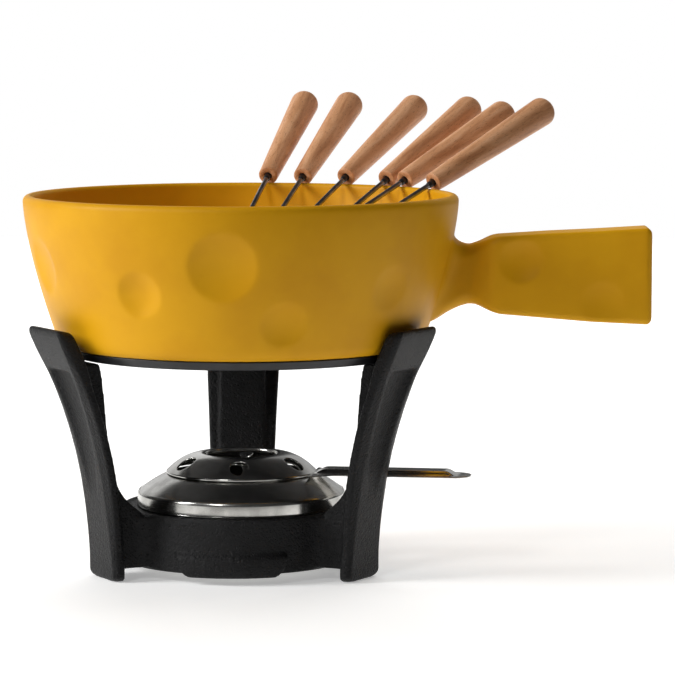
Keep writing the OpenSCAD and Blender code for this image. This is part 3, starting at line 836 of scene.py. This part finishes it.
coverLow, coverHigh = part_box("burner_cover")
burner = {
    "x": (coverLow.x + coverHigh.x) / 2 / mm,
    "radius": (coverHigh.x - coverLow.x) / 2 / mm,
    "low": coverLow.z / mm,
    "band": 39.6,
    "top": coverHigh.z / mm,
    "shoulder": 37.4,
    "sheet": 0.9,
    "dishRadius": 46.0,
    "dishLow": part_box("fuel_dish")[0].z / mm,
    "wire": 0.26,
    "wirePitch": 2.4,
}
regulator = {
    "mouth": 18.7,
    "rim": 38.0,
    "low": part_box("regulator")[0].z / mm,
    "top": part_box("regulator")[1].z / mm,
    "curve": 2.2,
    "vents": 6,
    "ventRadius": 4.75,
    "ventPitch": 31.0,
    "ventTurn": 5.0,
    "leverAngle": -7.5,
    "leverReach": 117.0,
    "leverHalf": 10.0,
    "leverRise": 2.3,
}


def makeBurnerCover(steel):
    r, low, band, top, sheet = burner["radius"], burner["low"], burner["band"], burner["top"], burner["sheet"]
    inner = r - sheet
    rise = [(burner["shoulder"] + (r - 1.6 - burner["shoulder"]) * (1 - t), band + 0.9 + (top - band - 0.9)
             * (0.62 * t + 0.38 * math.sin(t * math.pi / 2))) for t in np.linspace(0, 1, 10)]
    foot, head = rise[0], rise[-1]
    outline = roundCorners([(inner, low, 0.2), (r, low, 0.35), (r, band - 0.4, 1.1),
                            (foot[0] + 0.6, foot[1] - 0.2, 0.4)], 5)
    outline += [np.array(p) for p in rise[:-1]]
    outline += roundCorners([(head[0] + 1, top - 0.2, 0), (head[0], top, 0.3),
                             (head[0], top - sheet, 0)], 4)[1:]
    outline += [np.array((p - 0.35, q - sheet)) for p, q in reversed(rise[:-1])]
    outline += [np.array((inner, band - 1.4))]
    piece = lathe("burnerCover", outline, steel, burner["x"] * mm, 256, True, 50)
    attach(piece, "burner_lid")
    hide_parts("burner_cover")


def domeHeight(r, drop=0.0):
    t = np.clip((r - regulator["mouth"]) / (regulator["rim"] - regulator["mouth"]), 0, 1.1)
    return regulator["top"] - drop - (regulator["top"] - regulator["low"] - 1) * t ** regulator["curve"]


def ventedDome(insideR, outsideR, drop, turn):
    # a domed sheet in six sectors, each a grid of quads round its own vent hole
    along, sideways, levels = 16, 8, 8
    count = regulator["vents"]
    half = math.pi / count
    border = [(outsideR, -half + 2 * half * i / along) for i in range(along)]
    border += [(outsideR + (insideR - outsideR) * i / sideways, half) for i in range(sideways)]
    border += [(insideR, half - 2 * half * i / along) for i in range(along)]
    border += [(insideR + (outsideR - insideR) * i / sideways, -half) for i in range(sideways)]
    hole = [math.radians(a) for a in list(np.linspace(-50, 50, along, endpoint=False))
            + list(np.linspace(50, 130, sideways, endpoint=False))
            + list(np.linspace(130, 230, along, endpoint=False))
            + list(np.linspace(230, 310, sideways, endpoint=False))]
    points, faces = [], []
    for sector in range(count):
        start = len(points)
        turnBy = math.radians(-90 + turn) + sector * 2 * half
        for level in range(levels + 1):
            t = (level / levels) ** 1.35
            for (r, a), b in zip(border, hole):
                rim = np.array([regulator["ventPitch"] + regulator["ventRadius"] * math.cos(b),
                                regulator["ventRadius"] * math.sin(b)])
                edge = np.array([r * math.cos(a), r * math.sin(a)])
                p = rim + (edge - rim) * t
                out = math.hypot(*p)
                if level == levels:
                    out = r
                x = p[0] * math.cos(turnBy) - p[1] * math.sin(turnBy)
                y = p[0] * math.sin(turnBy) + p[1] * math.cos(turnBy)
                points.append((x * mm, y * mm, domeHeight(out, drop) * mm))
        n = len(border)
        for level in range(levels):
            for i in range(n):
                j = (i + 1) % n
                a, b = start + level * n, start + (level + 1) * n
                faces.append([a + i, a + j, b + j, b + i])
    # the mouth's turned-down lip and the outer edge carry on from the same points
    segments = count * along
    spin = math.radians(-90 + turn) - half

    def rings(rows):
        for (r0, z0), (r1, z1) in zip(rows, rows[1:]):
            start = len(points)
            for r, z in ((r0, z0), (r1, z1)):
                for i in range(segments):
                    a = spin + 2 * math.pi * i / segments
                    points.append((r * math.cos(a) * mm, r * math.sin(a) * mm, z * mm))
            for i in range(segments):
                j = (i + 1) % segments
                faces.append([start + i, start + j, start + segments + j, start + segments + i])
    return points, faces, rings


def makeLever():
    # a pressed strip: a raised rib with sloped sides along a flat flange, a flared root and a round tip
    reach, half, low = regulator["leverReach"], regulator["leverHalf"], regulator["low"]
    sheet = burner["sheet"]
    lengths = list(np.linspace(36.6, reach - half, 46)) + [reach - half + half * math.sin(t) for t in
                                                           np.radians([10, 20, 30, 40, 50, 60, 70, 79, 86])]
    shares = np.linspace(-1, 1, 25)
    top, bottom = [], []
    for x in lengths:
        flare = 9 * max(0.0, 1 - (x - 36.6) / 13) ** 2
        width = half + flare
        if x > reach - half:
            width = math.sqrt(max(half ** 2 - (x - reach + half) ** 2, 0.2))
        ribEnd = np.clip((reach - 7.5 - x) / 4.5, 0, 1)
        ribStart = np.clip((x - 37.5) / 6, 0, 1)
        rise = regulator["leverRise"] * ease(ribEnd) * ease(ribStart)
        for t in shares:
            y = t * width
            s = np.clip((7.6 - abs(y)) / 2.4, 0, 1)
            z = low + rise * ease(s)
            lip = 0.25 * np.clip((abs(t) - 0.93) / 0.07, 0, 1) ** 2
            top.append((x, y, z + sheet - lip))
            bottom.append((x, y, z + lip * 0.5))
    a = math.radians(regulator["leverAngle"])
    n = len(shares)
    points = [((x * math.cos(a) - y * math.sin(a)) * mm, (x * math.sin(a) + y * math.cos(a)) * mm, z * mm)
              for x, y, z in top + bottom]
    shift, last = len(top), len(lengths) - 1
    faces = []
    for i in range(last):
        for k in range(n - 1):
            p = i * n + k
            faces.append([p, p + 1, p + n + 1, p + n])
            faces.append([shift + p, shift + p + 1, shift + p + n + 1, shift + p + n])
        for k in (0, n - 1):
            p = i * n + k
            faces.append([p, p + n, shift + p + n, shift + p])
    for i in (0, last):
        for k in range(n - 1):
            p = i * n + k
            faces.append([p, p + 1, shift + p + 1, shift + p])
    return points, faces


def makeRegulator(steel):
    mouth, rim, low = regulator["mouth"], regulator["rim"], regulator["low"]
    points, faces, rings = ventedDome(mouth + 0.9, rim - 0.6, 0, 0)
    z0, z1 = float(domeHeight(mouth + 0.9)), float(domeHeight(rim - 0.6))
    rings([(mouth + 0.9, z0), (mouth + 0.35, z0 - 0.05), (mouth - 0.05, z0 - 0.3), (mouth - 0.3, z0 - 0.8),
           (mouth - 0.35, z0 - 1.6), (mouth - 0.35, z0 - 2.4)])
    rings([(rim - 0.6, z1), (rim - 0.2, z1 - 0.3), (rim, z1 - 0.75), (rim, low + 0.05)])
    dome = makePiece("regulatorDome", points, faces, steel)
    thick = dome.modifiers.new("sheet", "SOLIDIFY")
    thick.thickness, thick.offset = burner["sheet"] * mm, -1
    smooth = dome.modifiers.new("smooth", "SUBSURF")
    smooth.levels = smooth.render_levels = 1
    settle(dome)
    lever = makePiece("regulatorLever", *makeLever(), steel, 50)
    smooth = lever.modifiers.new("smooth", "SUBSURF")
    smooth.levels = smooth.render_levels = 1
    settle(lever)
    for piece in (dome, lever):
        piece.location.x = burner["x"] * mm
        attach(piece, "regulator")
    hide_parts("regulator")


def makeVentCollar(steel):
    points, faces, _ = ventedDome(regulator["mouth"] + 1.2, burner["shoulder"] - 1.3,
                                  burner["sheet"] + 0.55, -regulator["ventTurn"])
    piece = makePiece("ventCollar", points, faces, steel)
    thick = piece.modifiers.new("sheet", "SOLIDIFY")
    thick.thickness, thick.offset = 0.65 * mm, -1
    smooth = piece.modifiers.new("smooth", "SUBSURF")
    smooth.levels = smooth.render_levels = 1
    settle(piece)
    piece.location.x = burner["x"] * mm
    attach(piece, "burner_lid")
    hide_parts("vent_collar")


def makeFuelDish(steel):
    r, low, sheet = burner["dishRadius"], burner["dishLow"], burner["sheet"]
    flange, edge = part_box("fuel_dish")[1].z / mm, burner["radius"] - 0.4
    # a pressed ring stiffens the bottom
    press = 0.8
    outline = roundCorners([(0, low, 0), (r - 12, low, 0.4), (r - 11, low + press, 0.4),
                            (r - 8, low + press, 0.4), (r - 7, low, 0.4), (r, low, 3.2),
                            (r, flange - sheet, 0.5), (edge, flange - sheet, 0.35), (edge, flange, 0.35),
                            (r - sheet, flange, 0.9), (r - sheet, low + sheet, 2.6),
                            (r - 6.6, low + sheet, 0.4), (r - 7.8, low + sheet + press, 0.4),
                            (r - 11.2, low + sheet + press, 0.4), (r - 12.2, low + sheet, 0.4),
                            (0, low + sheet, 0)], 4)
    piece = lathe("fuelDish", outline, steel, burner["x"] * mm, 192, False, 60)
    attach(piece, "burner")
    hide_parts("fuel_dish")


def makeCeramicCore(ceramic):
    low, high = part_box("ceramic_core")
    bottom, top, wide = low.z / mm, high.z / mm, (high.x - low.x) / 2 / mm
    outline = [(0, bottom), (wide - 3, bottom), (wide - 2, bottom + 0.8)]
    outline += [(wide - 2 + 2 * t - 0.1, bottom + 0.8 + (top - bottom - 2.2) * t)
                for t in np.linspace(0.1, 1, 7)]
    outline += [(wide - 0.7, top - 0.6), (wide - 1.7, top - 0.1)]
    # the flame wears a shallow ring into its top
    outline += [(r, top - 0.1 - 0.35 * math.exp(-((r - 18) / 3) ** 2)) for r in np.linspace(wide - 4, 1, 22)]
    outline.append((0, top - 0.1))
    piece = lathe("ceramicCore", outline, ceramic, burner["x"] * mm, 128)
    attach(piece, "burner")
    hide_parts("ceramic_core")


def makeGauze(wire):
    # a plain weave of round wire inside a flat rolled edge
    low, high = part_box("wire_gauze")
    middle, wide = (low.z + high.z) / 2 / mm, (high.x - low.x) / 2 / mm
    pitch, r = burner["wirePitch"], burner["wire"] / 2
    parts = []
    count = int((wide - 1.2) / pitch)
    for direction in (0, 1):
        for k in range(-count, count + 1):
            half = math.sqrt(max((wide - 0.9) ** 2 - (k * pitch) ** 2, 0))
            if half < 3:
                continue
            steps = max(6, int(2 * half / (pitch / 4)))
            path = []
            for s in np.linspace(-half, half, steps):
                wave = math.cos(math.pi * s / pitch) * (-1) ** (k + direction) * (r * 1.0)
                x, y = (s, k * pitch) if direction == 0 else (k * pitch, s)
                path.append((x, y, middle + wave))
            parts.append(tube(path, [r] * len(path), 6))
    edge = [(wide - 1.4, middle - 0.22), (wide - 0.1, middle - 0.3), (wide - 0.05, middle),
            (wide - 0.1, middle + 0.3), (wide - 1.4, middle + 0.22)]
    parts.append(latheMesh(edge, 128, True))
    piece = makePiece("wireGauze", *joinParts(parts), wire)
    piece.location.x = burner["x"] * mm
    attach(piece, "burner")
    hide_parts("wire_gauze")


# ---- the forks

fork = {
    "rod": 1.25,
    "spread": 2.4,
    "prongLength": 30.0,
    "rodEnd": 162.0,
    "ferrule": 4.0,
    "woodThin": 5.1,
    "woodThick": 7.65,
}


def forkPlace(number):
    # the fork slides along its own axis, and the wood's mesh says where that axis lies
    joints = {joint["name"]: joint for joint in frame["record"]["behaviour"]["joints"]}
    axis = joints[f"fork_{number}_pull"]["axis"]
    axis = np.array(axis) / np.linalg.norm(axis)
    up = np.array([0, 0, 1]) - axis * axis[2]
    up /= np.linalg.norm(up)
    side = np.cross(up, axis)
    wood = frame["nodes"][f"fork_{number}_handle"]
    co = np.array([v.co for v in wood.data.vertices])
    along, u, v = co @ axis, co @ up, co @ side
    end = axis * along.min() + up * (u.max() + u.min()) / 2 + side * (v.max() + v.min()) / 2
    matrix = Matrix(((up[0], side[0], axis[0], end[0]), (up[1], side[1], axis[1], end[1]),
                     (up[2], side[2], axis[2], end[2]), (0, 0, 0, 1)))
    return matrix, (along.max() - along.min()) / mm


def makeFork(number, rodSteel, nylon, beech):
    matrix, woodLength = forkPlace(number)
    thin, thick = fork["woodThin"], fork["woodThick"]
    end = woodLength - thick * 0.8
    # wood: a drilled flat end, a straight taper, and a turned dome
    outline = [(0.0, 1.2), (1.9, 1.2), (2.0, 0.25), (2.25, 0.0), (thin - 0.75, 0.0), (thin - 0.28, 0.12),
               (thin - 0.06, 0.42), (thin, 0.95)]
    outline += [(thin + (thick - thin) * (0.92 * t + 0.08 * math.sin(t * math.pi / 2)),
                 0.95 + (end - 0.95) * t) for t in np.linspace(0.04, 1, 24)]
    outline += [(thick * math.cos(t) ** 0.86 if t < 1.57 else 0.0, end + thick * 0.8 * math.sin(t))
                for t in np.radians([6, 12, 20, 28, 36, 45, 54, 63, 72, 80, 86, 90])]
    wood = lathe(f"forkHandle{number}", outline, beech, 0, 72)
    # ferrule: a short collar that tapers onto the rod
    length = fork["ferrule"]
    outline = roundCorners([(0, -length, 0), (1.4, -length, 0.15), (1.75, -length + 1.4, 0.3),
                            (1.82, 0.9, 0), (0, 0.9, 0)])
    ferrule = lathe(f"forkFerrule{number}", outline, nylon, 0, 40)
    # rod, and two prongs that leave it side by side, each with a small barb
    rodTop, root, tip = -length + 0.6, -(fork["rodEnd"] - fork["prongLength"]), -fork["rodEnd"]
    r = fork["rod"]
    stops = list(np.linspace(rodTop, root + 2, 12)) + [root + 1, root + 0.3]
    rod = tube([(0, 0, z) for z in stops], [r] * 12 + [r * 0.97, r * 0.8], 24)
    parts = [rod]
    for s in (-1, 1):
        path, radii = [], []
        for t in np.linspace(0, 1, 10):
            path.append((0, s * (0.25 + (fork["spread"] - 0.25) * ease(t)), root + 3.5 - 8.5 * t))
            radii.append(1.05 - 0.15 * t)
        for back, size in ((14, 0.9), (9, 0.9), (7.2, 0.88), (6.6, 1.12), (5.8, 1.02), (4.2, 0.74),
                           (2.4, 0.48), (0.9, 0.26), (0.0, 0.12)):
            path.append((0, s * (fork["spread"] + (0.18 if back in (6.6, 5.8) else 0)), tip + back))
            radii.append(size)
        parts.append(tube(path, radii, 16))
    rodPiece = makePiece(f"forkRod{number}", *joinParts(parts), rodSteel, 50)
    for piece, node, slot in ((wood, "handle", "beech"), (ferrule, "ferrule", "ferrule_black"),
                              (rodPiece, "tines", "rod_steel")):
        piece.matrix_world = matrix
        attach(piece, f"fork_{number}")
        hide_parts(f"fork_{number}_{node}")


# ---- camera, floor and lights

studio = {
    "focalLength": 181.67,
    "distance": 1.7097,
    "height": 0.2861,
    "azimuth": 2.534,
    "turn": 1.718,
    "tilt": 5.658,
    "room": 0.05,
    # name, place, aim, size and power of each soft box, and whether it shows in reflections
    "lights": [("keySoftbox", (-1.75, -0.45, 0.95), (0, 0, 0.12), (0.8, 0.9), 33, True),
               ("frontSoftbox", (-0.75, -1.45, 1.15), (0, 0, 0.12), (0.35, 0.35), 6.5, True),
               ("topSoftbox", (0.1, 0.45, 1.9), (0, 0, 0.1), (1.2, 0.9), 9, False),
               ("backSoftbox", (0.2, 1.9, 1.3), (0, 1.1, 0), (2.6, 1.0), 34, False)],
    # name, place, aim, size and brightness of each card
    "cards": [("backLeftCard", (-1.1, 2.3, 0.85), (0, 0, 0.05), (2.1, 1.5), 0.8),
              ("backRightCard", (1.1, 2.3, 0.85), (0, 0, 0.05), (2.1, 1.5), 0.46),
              ("frontCard", (-0.62, -1.3, 0.12), (0, 0, 0.05), (0.5, 0.5), 0.05)],
}


def aim(thing, place, target):
    thing.location = place
    direction = Vector(target) - Vector(place)
    thing.rotation_mode = "QUATERNION"
    thing.rotation_quaternion = direction.to_track_quat("-Z", "Y")


def makeCamera():
    a, h, p = (math.radians(studio["azimuth"]), math.radians(studio["turn"] - studio["azimuth"]),
               math.radians(studio["tilt"]))
    place = Vector((math.sin(a) * studio["distance"], -math.cos(a) * studio["distance"], studio["height"]))
    camera = bpy.data.objects.new("camera", bpy.data.cameras.new("camera"))
    camera.data.lens, camera.data.sensor_width = studio["focalLength"], 36
    camera.data.clip_start, camera.data.clip_end = 0.05, 50
    bpy.context.scene.collection.objects.link(camera)
    aim(camera, place, place + Vector((math.sin(h) * math.cos(p), math.cos(h) * math.cos(p), -math.sin(p))))
    bpy.context.scene.camera = camera


def makeFloor(card):
    # a sheet that runs back, and stops a little in front of the stand
    rows = [(y, 0.0) for y in (-0.42, 0.0, 0.8, 1.6, 2.4)]
    points = [(x, y, z) for y, z in rows for x in (-1.6, -0.8, 0, 0.8, 1.6)]
    faces = [[r * 5 + c, r * 5 + c + 1, (r + 1) * 5 + c + 1, (r + 1) * 5 + c] for r in range(len(rows) - 1)
             for c in range(4)]
    floor = makePiece("studioFloor", points, faces, card)
    floor.location.z = -0.0002


def addLight(name, place, target, size, power, shines):
    lamp = bpy.data.lights.new(name, "AREA")
    lamp.shape, lamp.size, lamp.size_y = "RECTANGLE", size[0], size[1]
    lamp.energy = power
    light = bpy.data.objects.new(name, lamp)
    bpy.context.scene.collection.objects.link(light)
    light.visible_glossy = shines
    aim(light, place, target)


def addCard(name, place, target, size, glow):
    # a glowing card beside the set that shows only as a reflection
    material, _, shader = startMaterial(name)
    shader.inputs["Base Color"].default_value = linear("#0c0c0c")
    shader.inputs["Roughness"].default_value = 0.9
    shader.inputs["Emission Color"].default_value = (1, 1, 1, 1)
    shader.inputs["Emission Strength"].default_value = glow
    w, h = size[0] / 2, size[1] / 2
    card = makePiece(name, [(-w, -h, 0), (w, -h, 0), (w, h, 0), (-w, h, 0)], [[0, 1, 2, 3]], material)
    aim(card, place, target)
    card.visible_camera = card.visible_diffuse = card.visible_shadow = False


def makeStudio():
    # a white surround for the eye, and a dim room for the light
    world = bpy.data.worlds.new("studioWorld")
    bpy.context.scene.world = world
    world.use_nodes = True
    tree = world.node_tree
    room = tree.nodes["Background"]
    room.inputs["Color"].default_value, room.inputs["Strength"].default_value = (1, 1, 1, 1), studio["room"]
    surround = addNode(tree, "Background", {"Color": (1, 1, 1, 1), "Strength": 1.0})
    seen = addNode(tree, "LightPath")
    both = addNode(tree, "MixShader", {0: seen.outputs["Is Camera Ray"], 1: room.outputs["Background"],
                                       2: surround.outputs["Background"]})
    tree.links.new(both.outputs["Shader"], tree.nodes["World Output"].inputs["Surface"])
    for name, place, target, size, power, shines in studio["lights"]:
        addLight(name, place, target, size, power, shines)
    for name, place, target, size, glow in studio["cards"]:
        addCard(name, place, target, size, glow)


bpy.context.scene.view_settings.view_transform = "Standard"

makeCamera()
makeFloor(makeStudioFloor())
makeStudio()
print("camera, floor and lights are in place")

makePot(makeGlaze())
makePotBase(makeBlackBase())
print("the pot is made")

makeStand(makeCastIron())
print("the stand is cast")

burnerSteel = makePressedSteel()
makeBurnerCover(burnerSteel)
makeRegulator(burnerSteel)
makeVentCollar(burnerSteel)
makeFuelDish(burnerSteel)
makeCeramicCore(makePorousCeramic())
makeGauze(makeWireSteel())
print("the burner is made")

rodSteel, nylon = makeRodSteel(), makeFerrulePlastic()
for number in range(1, 7):
    makeFork(number, rodSteel, nylon, makeBeech(number))
print("the forks are in the pot")
